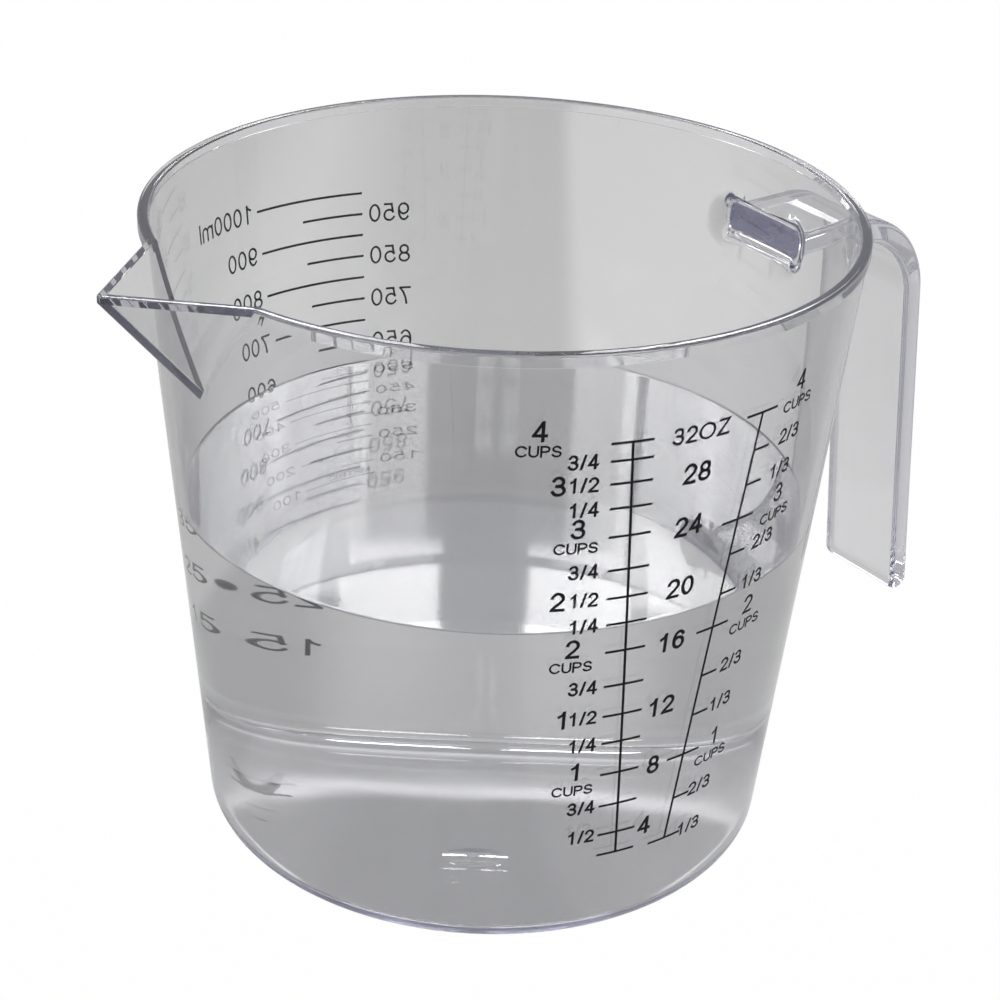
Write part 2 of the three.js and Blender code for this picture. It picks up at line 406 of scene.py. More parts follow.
def clearPlastic():
    material = bpy.data.materials.new("clearPlastic")
    material.use_nodes = True
    nodes = material.node_tree.nodes
    links = material.node_tree.links
    shader = nodes["Principled BSDF"]
    shader.inputs["Base Color"].default_value = plasticLook["tint"]
    shader.inputs["IOR"].default_value = plasticLook["ior"]
    shader.inputs["Transmission Weight"].default_value = 1.0
    place = nodes.new("ShaderNodeTexCoord")
    scuffs = nodes.new("ShaderNodeTexNoise")
    scuffs.inputs["Scale"].default_value = plasticLook["scuffScale"]
    scuffs.inputs["Detail"].default_value = plasticLook["scuffDetail"]
    gloss = nodes.new("ShaderNodeMapRange")
    gloss.inputs["From Min"].default_value = plasticLook["scuffFrom"]
    gloss.inputs["From Max"].default_value = plasticLook["scuffTo"]
    gloss.inputs["To Min"].default_value = plasticLook["smooth"]
    gloss.inputs["To Max"].default_value = plasticLook["scuffed"]
    ripples = nodes.new("ShaderNodeTexNoise")
    ripples.inputs["Scale"].default_value = plasticLook["rippleScale"]
    ripples.inputs["Detail"].default_value = plasticLook["rippleDetail"]
    bump = nodes.new("ShaderNodeBump")
    bump.inputs["Strength"].default_value = 1.0
    bump.inputs["Distance"].default_value = plasticLook["rippleHeight"]
    links.new(place.outputs["Object"], scuffs.inputs["Vector"])
    links.new(place.outputs["Object"], ripples.inputs["Vector"])
    links.new(scuffs.outputs["Fac"], gloss.inputs["Value"])
    links.new(gloss.outputs["Result"], shader.inputs["Roughness"])
    links.new(ripples.outputs["Fac"], bump.inputs["Height"])
    links.new(bump.outputs["Normal"], shader.inputs["Normal"])
    # A faint haze on the surface lights up the edges, where light runs a long way inside
    haze = nodes.new("ShaderNodeBsdfTranslucent")
    haze.inputs["Color"].default_value = plasticLook["haze"]
    hazy = nodes.new("ShaderNodeMixShader")
    hazy.inputs["Fac"].default_value = plasticLook["hazeShare"]
    links.new(shader.outputs["BSDF"], hazy.inputs[1])
    links.new(haze.outputs["BSDF"], hazy.inputs[2])
    # Lamps shine through, so the jug keeps a light shadow
    clear = nodes.new("ShaderNodeBsdfTransparent")
    clear.inputs["Color"].default_value = plasticLook["shadow"]
    path = nodes.new("ShaderNodeLightPath")
    either = nodes.new("ShaderNodeMixShader")
    surface = nodes["Material Output"]
    links.new(path.outputs["Is Shadow Ray"], either.inputs["Fac"])
    links.new(hazy.outputs["Shader"], either.inputs[1])
    links.new(clear.outputs["BSDF"], either.inputs[2])
    links.new(either.outputs["Shader"], surface.inputs["Surface"])
    body = nodes.new("ShaderNodeVolumeAbsorption")
    body.inputs["Color"].default_value = plasticLook["absorbed"]
    body.inputs["Density"].default_value = plasticLook["density"]
    links.new(body.outputs["Volume"], surface.inputs["Volume"])
    return material


inkLook = {
    "dark": (0.006, 0.006, 0.007, 1),
    "worn": (0.02, 0.02, 0.022, 1),
    "specular": 0.12,
    "smooth": 0.5,
    "rough": 0.75,
    "grain": 900.0,
    "grainDetail": 4.0,
}


def blackInk():
    material = bpy.data.materials.new("blackInk")
    material.use_nodes = True
    nodes = material.node_tree.nodes
    links = material.node_tree.links
    shader = nodes["Principled BSDF"]
    shader.inputs["Specular IOR Level"].default_value = inkLook["specular"]
    place = nodes.new("ShaderNodeTexCoord")
    grain = nodes.new("ShaderNodeTexNoise")
    grain.inputs["Scale"].default_value = inkLook["grain"]
    grain.inputs["Detail"].default_value = inkLook["grainDetail"]
    tone = nodes.new("ShaderNodeMix")
    tone.data_type = "RGBA"
    tone.inputs["A"].default_value = inkLook["dark"]
    tone.inputs["B"].default_value = inkLook["worn"]
    rough = nodes.new("ShaderNodeMapRange")
    rough.inputs["To Min"].default_value = inkLook["smooth"]
    rough.inputs["To Max"].default_value = inkLook["rough"]
    links.new(place.outputs["Object"], grain.inputs["Vector"])
    links.new(grain.outputs["Fac"], tone.inputs["Factor"])
    links.new(grain.outputs["Fac"], rough.inputs["Value"])
    links.new(tone.outputs["Result"], shader.inputs["Base Color"])
    links.new(rough.outputs["Result"], shader.inputs["Roughness"])
    return material


clearMaterial = clearPlastic()
inkMaterial = blackInk()


# The clear moulding is one piece, as it comes out of the mould

mouldingEdges = {"weld": 0.002, "sharp": 28}


def buildMoulding():
    jug = outerBody()
    combine(jug, beakOuter(), "UNION")
    combine(jug, handleBody(), "UNION")
    hollow = cavityBody()
    combine(hollow, beakChannel(), "UNION")
    combine(jug, hollow, "DIFFERENCE")
    combine(jug, gateRecess(), "DIFFERENCE")
    work = bmesh.new()
    work.from_mesh(jug.data)
    bmesh.ops.remove_doubles(work, verts=work.verts, dist=mouldingEdges["weld"] * mm)
    bmesh.ops.dissolve_degenerate(work, edges=work.edges, dist=mouldingEdges["weld"] * mm)
    bmesh.ops.recalc_face_normals(work, faces=work.faces)
    work.to_mesh(jug.data)
    work.free()
    jug.data.shade_smooth()
    jug.data.set_sharp_from_angle(angle=math.radians(mouldingEdges["sharp"]))
    even = jug.modifiers.new("even", "WEIGHTED_NORMAL")
    even.keep_sharp = True
    made = finalMesh(jug)
    dropObject(jug)
    return addObject("clearMoulding", made, clearMaterial)


moulding = buildMoulding()
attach(moulding, "root")
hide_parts("base_dish", "side_wall", "rim_band", "pouring_spout", "handle_strap")
print("moulding:", len(moulding.data.polygons), "faces")


# Printed scales. A mark is laid out flat, in millimetres round the wall and up it, and is then
# wrapped on the cone. The ink is bedded a little in the wall, so that it shows from inside too.

printing = {
    "line": 0.45,
    "depth": 0.09,
    "bed": 0.04,
    "levelStep": 0.02,
    "tickSteps": 9,
}


def levelFor(millilitres):
    rounding = vessel["floorRounding"]
    cornerTop = cornerArc(vessel["baseRadius"] - vessel["wall"], vessel["floor"], rounding)[-1][1]
    z = vessel["floor"]
    wanted = millilitres * 1000    # cubic millimetres
    held = 0.0
    while held < wanted:
        radius = wallRadius(z) - vessel["wall"]
        if z < cornerTop:
            below = min(z - vessel["floor"] - rounding, 0)
            radius -= rounding - math.sqrt(rounding ** 2 - below ** 2)
        held += math.pi * radius * radius * printing["levelStep"]
        z += printing["levelStep"]
    return z


def mathNode(tree, operation, first, second):
    node = tree.nodes.new("ShaderNodeMath")
    node.operation = operation
    for socket, value in zip(node.inputs, (first, second)):
        if isinstance(value, (int, float)):
            socket.default_value = value
        else:
            tree.links.new(value, socket)
    return node.outputs["Value"]


# Ticks on the points of a flat layout and a bar along its edges, wrapped on the wall
def scaleTree():
    tree = bpy.data.node_groups.new("scaleMarks", "GeometryNodeTree")
    face = tree.interface
    face.new_socket("Geometry", in_out="OUTPUT", socket_type="NodeSocketGeometry")
    face.new_socket("Layout", in_out="INPUT", socket_type="NodeSocketGeometry")
    for name in ("Line Width", "Ink Depth", "Ink Lift", "Foot Radius", "Wall Slope"):
        face.new_socket(name, in_out="INPUT", socket_type="NodeSocketFloat")
    face.new_socket("Tick Steps", in_out="INPUT", socket_type="NodeSocketInt")
    face.new_socket("Ink", in_out="INPUT", socket_type="NodeSocketMaterial")
    nodes = tree.nodes
    links = tree.links
    given = nodes.new("NodeGroupInput").outputs
    result = nodes.new("NodeGroupOutput").inputs

    def named(name):
        node = nodes.new("GeometryNodeInputNamedAttribute")
        node.data_type = "FLOAT"
        node.inputs["Name"].default_value = name
        return node.outputs["Attribute"]

    # One bar for each point that has a reach to its left or right
    left = named("reachLeft")
    right = named("reachRight")
    reach = mathNode(tree, "ADD", left, right)
    bar = nodes.new("GeometryNodeMeshCube")
    bar.inputs["Size"].default_value = (1, 1, 1)
    links.new(given["Tick Steps"], bar.inputs["Vertices X"])
    dots = nodes.new("GeometryNodeMeshToPoints")
    links.new(given["Layout"], dots.inputs["Mesh"])
    links.new(mathNode(tree, "GREATER_THAN", reach, 0.0), dots.inputs["Selection"])
    size = nodes.new("ShaderNodeCombineXYZ")
    links.new(reach, size.inputs["X"])
    links.new(given["Line Width"], size.inputs["Y"])
    links.new(given["Ink Depth"], size.inputs["Z"])
    aside = nodes.new("ShaderNodeCombineXYZ")
    links.new(mathNode(tree, "MULTIPLY", mathNode(tree, "SUBTRACT", right, left), 0.5), aside.inputs["X"])
    shift = nodes.new("GeometryNodeSetPosition")
    links.new(dots.outputs["Points"], shift.inputs["Geometry"])
    links.new(aside.outputs["Vector"], shift.inputs["Offset"])
    ticks = nodes.new("GeometryNodeInstanceOnPoints")
    links.new(shift.outputs["Geometry"], ticks.inputs["Points"])
    links.new(bar.outputs["Mesh"], ticks.inputs["Instance"])
    links.new(size.outputs["Vector"], ticks.inputs["Scale"])

    # The upright follows the layout's edges
    path = nodes.new("GeometryNodeMeshToCurve")
    links.new(given["Layout"], path.inputs["Mesh"])
    square = nodes.new("GeometryNodeCurvePrimitiveQuadrilateral")
    links.new(given["Line Width"], square.inputs["Width"])
    links.new(given["Ink Depth"], square.inputs["Height"])
    upright = nodes.new("GeometryNodeCurveToMesh")
    upright.inputs["Fill Caps"].default_value = True
    links.new(path.outputs["Curve"], upright.inputs["Curve"])
    links.new(square.outputs["Curve"], upright.inputs["Profile Curve"])

    joined = nodes.new("GeometryNodeJoinGeometry")
    links.new(ticks.outputs["Instances"], joined.inputs["Geometry"])
    links.new(upright.outputs["Mesh"], joined.inputs["Geometry"])
    real = nodes.new("GeometryNodeRealizeInstances")
    links.new(joined.outputs["Geometry"], real.inputs["Geometry"])

    # X is the way round the wall, Y the height and Z the way out of it
    flat = nodes.new("ShaderNodeSeparateXYZ")
    links.new(nodes.new("GeometryNodeInputPosition").outputs["Position"], flat.inputs["Vector"])
    wall = mathNode(tree, "ADD", given["Foot Radius"],
                    mathNode(tree, "MULTIPLY", given["Wall Slope"], flat.outputs["Y"]))
    angle = mathNode(tree, "DIVIDE", flat.outputs["X"], wall)
    out = mathNode(tree, "ADD", wall, mathNode(tree, "ADD", given["Ink Lift"], flat.outputs["Z"]))
    wrapped = nodes.new("ShaderNodeCombineXYZ")
    links.new(mathNode(tree, "MULTIPLY", out, mathNode(tree, "COSINE", angle, 0.0)), wrapped.inputs["X"])
    links.new(mathNode(tree, "MULTIPLY", out, mathNode(tree, "SINE", angle, 0.0)), wrapped.inputs["Y"])
    links.new(flat.outputs["Y"], wrapped.inputs["Z"])
    wrap = nodes.new("GeometryNodeSetPosition")
    links.new(real.outputs["Geometry"], wrap.inputs["Geometry"])
    links.new(wrapped.outputs["Vector"], wrap.inputs["Position"])
    inked = nodes.new("GeometryNodeSetMaterial")
    links.new(wrap.outputs["Geometry"], inked.inputs["Geometry"])
    links.new(given["Ink"], inked.inputs["Material"])
    links.new(inked.outputs["Geometry"], result["Geometry"])
    return tree


marksTree = scaleTree()


# Each tick is an angle in degrees, a height, and its reach left and right of that place.
# Each path is a run of angles and heights that a bar of this width follows.
def printMarks(name, width, ticks, paths):
    places = [(angle, z) for angle, z, left, right in ticks]
    edges = []
    for path in paths:
        edges += [(i, i + 1) for i in range(len(places), len(places) + len(path) - 1)]
        places += path
    points = [(math.radians(angle) * wallRadius(z) * mm, z * mm, 0) for angle, z in places]
    layout = bpy.data.meshes.new(name)
    layout.from_pydata(points, edges, [])
    spare = [0] * (len(places) - len(ticks))
    for title, index in (("reachLeft", 2), ("reachRight", 3)):
        kept = layout.attributes.new(title, "FLOAT", "POINT")
        kept.data.foreach_set("value", [tick[index] * mm for tick in ticks] + spare)
    piece = addObject(name, layout)
    marks = piece.modifiers.new("marks", "NODES")
    marks.node_group = marksTree
    values = {
        "Line Width": width * mm,
        "Ink Depth": printing["depth"] * mm,
        "Ink Lift": (printing["depth"] / 2 - printing["bed"]) * mm,
        "Foot Radius": vessel["baseRadius"] * mm,
        "Wall Slope": wallSlope,
        "Tick Steps": printing["tickSteps"],
        "Ink": inkMaterial,
    }
    for socket in marksTree.interface.items_tree:
        if socket.in_out == "INPUT" and socket.name in values:
            marks[socket.identifier] = values[socket.name]
    made = finalMesh(piece)
    dropObject(piece)
    return addObject(name, made)


# Letters are drawn as strokes in a box one unit high. Two numbers are a point, and six are an arc:
# its centre, its two radii, and the angles where it starts and ends.
glyphs = {
    "0": (0.52, [[(0.26, 0.5, 0.26, 0.5, 90, 450)]]),
    "1": (0.52, [[(0.08, 0.74), (0.22, 0.83), (0.31, 0.98)], [(0.31, 1), (0.31, 0)]]),
    "2": (0.52, [[(0.26, 0.72, 0.25, 0.28, 170, -30), (0.33, 0.39), (0.15, 0.21), (0.03, 0.05)],
                 [(0, 0), (0.52, 0)]]),
    "3": (0.52, [[(0.24, 0.755, 0.22, 0.245, 160, -80)], [(0.17, 0.52), (0.25, 0.52)],
                 [(0.245, 0.262, 0.262, 0.262, 80, -160)]]),
    "4": (0.54, [[(0.40, 0), (0.40, 1)], [(0.38, 1), (0.01, 0.30)], [(0, 0.27), (0.54, 0.27)]]),
    "5": (0.52, [[(0.47, 1), (0.13, 1)], [(0.11, 1), (0.05, 0.52)],
                 [(0.245, 0.32, 0.27, 0.32, 140, -155)]]),
    "6": (0.52, [[(0.27, 0.315, 0.25, 0.315, 90, 450)], [(0.285, 0.5, 0.27, 0.5, 42, 180), (0.02, 0.33)]]),
    "7": (0.52, [[(0, 1), (0.52, 1)], [(0.51, 0.97), (0.36, 0.72), (0.25, 0.4), (0.19, 0)]]),
    "8": (0.52, [[(0.26, 0.75, 0.21, 0.25, 90, 450)], [(0.26, 0.26, 0.26, 0.26, 90, 450)]]),
    "9": (0.52, [[(0.25, 0.685, 0.25, 0.315, 90, 450)], [(0.235, 0.5, 0.27, 0.5, 222, 360), (0.5, 0.67)]]),
    "/": (0.24, [[(0, 0), (0.24, 1)]]),
    "C": (0.78, [[(0.42, 0.5, 0.42, 0.5, 40, 320)]]),
    "U": (0.66, [[(0, 1), (0.33, 0.33, 0.33, 0.33, 180, 360), (0.66, 1)]]),
    "P": (0.62, [[(0, 0), (0, 1)], [(0, 1), (0.36, 0.735, 0.26, 0.265, 90, -90), (0, 0.47)]]),
    "S": (0.64, [[(0.32, 0.745, 0.28, 0.255, 20, 250), (0.32, 0.245, 0.32, 0.245, 70, -160)]]),
    "O": (0.90, [[(0.45, 0.5, 0.45, 0.5, 90, 450)]]),
    "Z": (0.66, [[(0.04, 1), (0.64, 1)], [(0.62, 0.98), (0.02, 0.02)], [(0, 0), (0.66, 0)]]),
    "m": (0.86, [[(0, 0), (0, 0.72)], [(0.215, 0.5, 0.215, 0.22, 170, 0), (0.43, 0)],
                 [(0.645, 0.5, 0.215, 0.22, 170, 0), (0.86, 0)]]),
    "l": (0.00, [[(0, 0), (0, 1)]]),
    "M": (0.80, [[(0, 0), (0, 1)], [(0, 1), (0.4, 0.04)], [(0.4, 0.04), (0.8, 1)], [(0.8, 1), (0.8, 0)]]),
    "E": (0.62, [[(0, 0), (0, 1)], [(0, 1), (0.62, 1)], [(0, 0.52), (0.58, 0.52)], [(0, 0), (0.64, 0)]]),
    "T": (0.68, [[(0, 1), (0.68, 1)], [(0.34, 1), (0.34, 0)]]),
    "R": (0.68, [[(0, 0), (0, 1)], [(0, 1), (0.38, 0.735, 0.26, 0.265, 90, -90), (0, 0.47)],
                 [(0.36, 0.47), (0.66, 0)]]),
    "I": (0.00, [[(0, 0), (0, 1)]]),
}
lettering = {
    "ounce": {"height": 3.9, "stroke": 0.60, "widen": 1.12},
    "total": {"height": 3.2, "stroke": 0.45, "widen": 1.15},
    "digit": {"height": 3.8, "stroke": 0.56, "widen": 1.12},
    "fraction": {"height": 2.85, "stroke": 0.44, "widen": 1.06},
    "word": {"height": 2.15, "stroke": 0.34, "widen": 1.13},
    "lightDigit": {"height": 3.7, "stroke": 0.44, "widen": 1.12},
    "lightFraction": {"height": 2.85, "stroke": 0.40, "widen": 1.20},
    "lightWord": {"height": 2.1, "stroke": 0.30, "widen": 1.28},
    "metric": {"height": 3.75, "stroke": 0.42, "widen": 1.20},
}
letterGap = 0.26
arcStep = 18    # degrees


def glyphPoints(shape):
    points = []
    for part in shape:
        if len(part) == 2:
            points.append(part)
            continue
        cx, cy, rx, ry, start, end = part
        steps = max(2, round(abs(end - start) / arcStep))
        for i in range(steps + 1):
            angle = math.radians(start + (end - start) * i / steps)
            points.append((cx + rx * math.cos(angle), cy + ry * math.sin(angle)))
    return points


# An open stroke runs on past both its ends by half its width, so that corners close
def runOn(last, before, amount):
    dx = last[0] - before[0]
    dy = last[1] - before[1]
    far = math.hypot(dx, dy)
    return (last[0] + dx / far * amount, last[1] + dy / far * amount)


def wordStrokes(text, look):
    inner = look["height"] - look["stroke"]
    strokes = []
    along = 0.0
    for letter in text:
        wide, shapes = glyphs[letter]
        for shape in shapes:
            points = [((along + x) * inner * look["widen"], (y - 0.5) * inner) for x, y in glyphPoints(shape)]
            if math.dist(points[0], points[-1]) > 1e-6:
                first = runOn(points[0], points[1], look["stroke"] / 2)
                last = runOn(points[-1], points[-2], look["stroke"] / 2)
                points = [first] + points[1:-1] + [last]
            strokes.append(points)
        along += wide + letterGap
    return strokes


# Puts a word on a sheet of strokes, and returns where its left and right edges are.
# It is set from its left edge, its middle or its right edge.
def setWord(sheet, text, kind, angle, z, anchor="middle", aside=0.0, slope=0.0):
    look = lettering[kind]
    strokes = wordStrokes(text, look)
    xs = [x for points in strokes for x, y in points]
    low = min(xs) - look["stroke"] / 2
    high = max(xs) + look["stroke"] / 2
    start = aside - {"left": low, "middle": (low + high) / 2, "right": high}[anchor]
    around = math.degrees(1 / wallRadius(z))
    paths = sheet.setdefault(look["stroke"], [])
    for points in strokes:
        paths.append([(angle + (start + x) * around, z + y + (start + x) * slope) for x, y in points])
    return start + low, start + high


def joinPieces(name, pieces):
    work = bmesh.new()
    for piece in pieces:
        work.from_mesh(piece.data)
        dropObject(piece)
    mesh = bpy.data.meshes.new(name)
    work.to_mesh(mesh)
    work.free()
    return addObject(name, mesh, inkMaterial)


def printSheet(name, ticks, uprights, sheet):
    parts = [printMarks(name + "Lines", printing["line"], ticks, uprights)]
    for stroke, paths in sheet.items():
        parts.append(printMarks(name + "Letters", stroke, [], paths))
    return joinPieces(name, parts)


# The two cup scales lean apart, and the ounces stand between them. Their marks crowd towards the rim.

cupScale = {
    "quarters": [18.7, 23.4, 30.0, 37.1, 44.0, 49.9, 56.3, 63.5,
                 69.2, 74.5, 80.1, 86.7, 92.2, 96.9, 101.2, 104.5],
    "thirds": [18.2, 27.0, 36.6, 44.9, 53.1, 63.1, 69.7, 77.5, 84.4, 90.8, 97.3, 104.4],
    "quarterLine": (-99.46, -0.0690),
    "thirdLine": (-91.09, 0.0742),
    "tick": 3.7,
    "uprightSteps": 24,
    "ounceCentre": -95.1,
    "ounceDrop": 0.4,
    "ounceStep": 4,
}
quarterLabels = {"gapLow": 4.1, "gapHigh": 5.5, "rise": 0.25, "wholeGap": 0.4,
                 "aside": [-8.6, -9.5, -9.1, -15.4],
                 "digitRise": [1.45, 1.45, 2.1, 2.85], "wordRise": [-2.65, -2.3, -1.6, -0.8]}
thirdLabels = {"gapLow": 3.1, "gapHigh": 6.7, "rise": 0.3,
               "aside": [7.5, 8.9, 10.5, 9.8],
               "digitRise": [0.9, 1.45, 1.6, 3.0], "wordRise": [-3.3, -2.65, -2.7, -1.2]}


def lineAngle(line, z):
    return line[0] + line[1] * z


def uprightPath(line, levels):
    steps = cupScale["uprightSteps"]
    heights = [levels[0] + (levels[-1] - levels[0]) * i / steps for i in range(steps + 1)]
    return [(lineAngle(line, z), z) for z in heights]


def between(low, high, z, levels):
    return low + (high - low) * (z - levels[0]) / (levels[-1] - levels[0])


# A whole cup has its number, with the word under it
def setCup(sheet, labels, whole, digit, word, angle, z):
    aside = labels["aside"][whole - 1]
    setWord(sheet, str(whole), digit, angle, z + labels["digitRise"][whole - 1], "middle", aside)
    setWord(sheet, "CUPS", word, angle, z + labels["wordRise"][whole - 1], "middle", aside)


def quarterCupPrint():
    levels = cupScale["quarters"]
    line = cupScale["quarterLine"]
    tick = cupScale["tick"]
    ticks = [(lineAngle(line, z), z, tick, tick) for z in levels]
    sheet = {}
    for index, z in enumerate(levels):
        whole, quarter = divmod(index + 1, 4)
        angle = lineAngle(line, z)
        if quarter == 0:
            setCup(sheet, quarterLabels, whole, "digit", "word", angle, z)
        elif index > 0:
            edge = -between(quarterLabels["gapLow"], quarterLabels["gapHigh"], z, levels)
            text = {1: "1/4", 2: "1/2", 3: "3/4"}[quarter]
            z += quarterLabels["rise"]
            left, right = setWord(sheet, text, "fraction", angle, z, "right", edge)
            if quarter == 2 and whole > 0:
                setWord(sheet, str(whole), "digit", angle, z, "right", left - quarterLabels["wholeGap"])
    top = cupScale["ounceStep"] * len(levels) // 2
    for ounces in range(cupScale["ounceStep"], top + 1, cupScale["ounceStep"]):
        z = levels[ounces // 2 - 1] - cupScale["ounceDrop"]
        if ounces == top:
            setWord(sheet, str(ounces) + "OZ", "total", cupScale["ounceCentre"], z)
        else:
            setWord(sheet, str(ounces), "ounce", cupScale["ounceCentre"], z)
    return printSheet("quarterCupPrint", ticks, [uprightPath(line, levels)], sheet)


def thirdCupPrint():
    levels = cupScale["thirds"]
    line = cupScale["thirdLine"]
    tick = cupScale["tick"]
    ticks = []
    sheet = {}
    for index, z in enumerate(levels):
        whole, third = divmod(index + 1, 3)
        angle = lineAngle(line, z)
        crosses = index == 0 or third == 0
        ticks.append((angle, z, tick if crosses else printing["line"] / 2, tick))
        if third == 0:
            setCup(sheet, thirdLabels, whole, "lightDigit", "lightWord", angle, z)
        else:
            edge = between(thirdLabels["gapLow"], thirdLabels["gapHigh"], z, levels)
            text = {1: "1/3", 2: "2/3"}[third]
            setWord(sheet, text, "lightFraction", angle, z + thirdLabels["rise"], "left", edge)
    return printSheet("thirdCupPrint", ticks, [uprightPath(line, levels)], sheet)


# The metric scale is on the far side, so it is read from there

metricScale = {
    "top": 1000,
    "bottom": 100,
    "step": 50,
    "start": 81.1,
    "longTick": 23.4,
    "shortTick": 13.0,
    "taper": 0.06,
    "gap": 1.5,
    "nameGap": 1.9,
    "nameAside": 1.0,
    "slope": 0.042,
    "lineSteps": 10,
}


def metricPrint():
    highest = levelFor(metricScale["top"])
    lines = []
    sheet = {}
    start = metricScale["start"]
    slope = metricScale["slope"]
    steps = metricScale["lineSteps"]
    for amount in range(metricScale["bottom"], metricScale["top"] + 1, metricScale["step"]):
        z = levelFor(amount)
        long = amount % (2 * metricScale["step"]) == 0
        sweep = metricScale["longTick" if long else "shortTick"] - metricScale["taper"] * (highest - z)
        rise = math.radians(sweep) * wallRadius(z) * slope
        lines.append([(start + sweep * i / steps, z + rise * i / steps) for i in range(steps + 1)])
        text = str(amount) + ("ml" if amount == metricScale["top"] else "")
        if long:
            setWord(sheet, text, "metric", start + sweep, z + rise, "left", metricScale["gap"], slope)
        else:
            setWord(sheet, text, "metric", start, z, "right", -metricScale["gap"], slope)
    name = levelFor(metricScale["bottom"]) + metricScale["nameGap"]
    setWord(sheet, "METRIC", "word", start, name, "left", metricScale["nameAside"], slope)
    return printSheet("metricPrint", [], lines, sheet)


quarterPrint = quarterCupPrint()
thirdPrint = thirdCupPrint()
farPrint = metricPrint()
metricNodes = [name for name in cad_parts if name.startswith("metric_tick_")]
for piece, nodes in ((quarterPrint, ["quarter_cup_ladder"]), (thirdPrint, ["third_cup_ladder"]),
                     (farPrint, metricNodes)):
    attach(piece, "root")
    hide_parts(*nodes)
    print(piece.name + ":", len(piece.data.polygons), "faces")


# Water in the jug stands in the scene only, and is no part of the object

water = {
    "level": 67.8,
    "overlap": 0.08,
    "meniscus": 0.2,
    "reach": 1.2,
    "steps": 6,
    "sharp": 35,
    "topFacing": 0.9,
    "ior": 1.333,
    "ripple": 0.04,
}


def waterMaterial(name, rough):
    material = bpy.data.materials.new(name)
    material.use_nodes = True
    nodes = material.node_tree.nodes
    links = material.node_tree.links
    shader = nodes["Principled BSDF"]
    shader.inputs["IOR"].default_value = water["ior"]
    shader.inputs["Transmission Weight"].default_value = 1.0
    shader.inputs["Roughness"].default_value = rough
    shader.inputs["Base Color"].default_value = (1, 1, 1, 1)
    clear = nodes.new("ShaderNodeBsdfTransparent")
    path = nodes.new("ShaderNodeLightPath")
    either = nodes.new("ShaderNodeMixShader")
    links.new(path.outputs["Is Shadow Ray"], either.inputs["Fac"])
    links.new(shader.outputs["BSDF"], either.inputs[1])
    links.new(clear.outputs["BSDF"], either.inputs[2])
    links.new(either.outputs["Shader"], nodes["Material Output"].inputs["Surface"])
    return material


def buildWater():
    inside = lambda z: wallRadius(z) - vessel["wall"] + water["overlap"]
    foot = vessel["floor"] - water["overlap"]
    rounding = vessel["floorRounding"]
    corner = cornerArc(vessel["baseRadius"] - vessel["wall"] + water["overlap"], foot, rounding)
    profile = [(0, foot), (corner[0][0] / 2, foot), (corner[0][0] - vessel["flatRing"], foot)] + corner
    edgeTop = water["level"] + water["meniscus"]
    profile += risingWall(corner[-1][1], edgeTop, inside)
    # The edge climbs the wall a little and levels out in a short reach
    for i in range(water["steps"] + 1):
        share = i / water["steps"]
        rise = water["meniscus"] * (1 - share) ** 3
        profile.append((inside(edgeTop) - water["reach"] * share ** 1.5, water["level"] + rise))
    flat = inside(edgeTop) - water["reach"] - vessel["flatRing"]
    profile += [(flat, water["level"]), (flat / 2, water["level"]), (0, water["level"])]
    body = turnedSolid("water", profile, vessel["segments"])
    body.data.shade_smooth()
    body.data.set_sharp_from_angle(angle=math.radians(water["sharp"]))
    body.data.materials.append(waterMaterial("water", 0.0))
    body.data.materials.append(waterMaterial("waterTop", water["ripple"]))
    for face in body.data.polygons:
        if face.normal.z > water["topFacing"]:
            face.material_index = 1
    return body


waterBody = buildWater()
print("water stands at", water["level"], "mm")


# Floor, light and camera

floorLook = {
    "size": 6.0,
    "gap": 0.3,
    "colour": (0.51, 0.51, 0.51, 1),
    "gloss": 0.3,
    "whiteSeen": 0.99,
    "across": (0.801, -0.599, 0),
    "spread": 0.2,
    # Painted light: bands of glow on the floor, seen only in reflections and through the plastic
    "paintedGlowThrough": [(-0.2, 0.0), (-0.095, 0.0), (-0.08, 0.2), (-0.065, 0.3), (-0.035, 0.0), (0.018, 0.0),
                     (0.024, 0.42), (0.075, 0.42), (0.11, 0.15), (0.2, 0.1)],
}


def rampNode(tree, stops, low, high, top, value):
    part = tree.nodes.new("ShaderNodeMapRange")
    part.inputs["From Min"].default_value = low
    part.inputs["From Max"].default_value = high
    ramp = tree.nodes.new("ShaderNodeValToRGB")
    elements = ramp.color_ramp.elements
    while len(elements) < len(stops):
        elements.new(0.5)
    for element, (place, amount) in zip(elements, stops):
        element.position = (place - low) / (high - low)
        element.color = (amount / top, amount / top, amount / top, 1)
    tree.links.new(value, part.inputs["Value"])
    tree.links.new(part.outputs["Result"], ramp.inputs["Fac"])
    return ramp.outputs["Color"]


# How much of the floor's own white shows: most to the camera, as an even white floor.
# In reflections and through the plastic the floor shows painted light instead: glowing bands left and right
# of a darker middle
def whiteShare(tree):
    place = tree.nodes.new("ShaderNodeTexCoord")
    across = tree.nodes.new("ShaderNodeVectorMath")
    across.operation = "DOT_PRODUCT"
    across.inputs[1].default_value = floorLook["across"]
    tree.links.new(place.outputs["Object"], across.inputs[0])
    spread = floorLook["spread"]
    through = rampNode(tree, floorLook["paintedGlowThrough"], -spread, spread, 1.0, across.outputs["Value"])
    path = tree.nodes.new("ShaderNodeLightPath").outputs
    seen = mathNode(tree, "MULTIPLY", path["Is Camera Ray"], floorLook["whiteSeen"])
    other = mathNode(tree, "MAXIMUM", path["Is Glossy Ray"], path["Is Transmission Ray"])
    return mathNode(tree, "MAXIMUM", seen, mathNode(tree, "MULTIPLY", other, through))


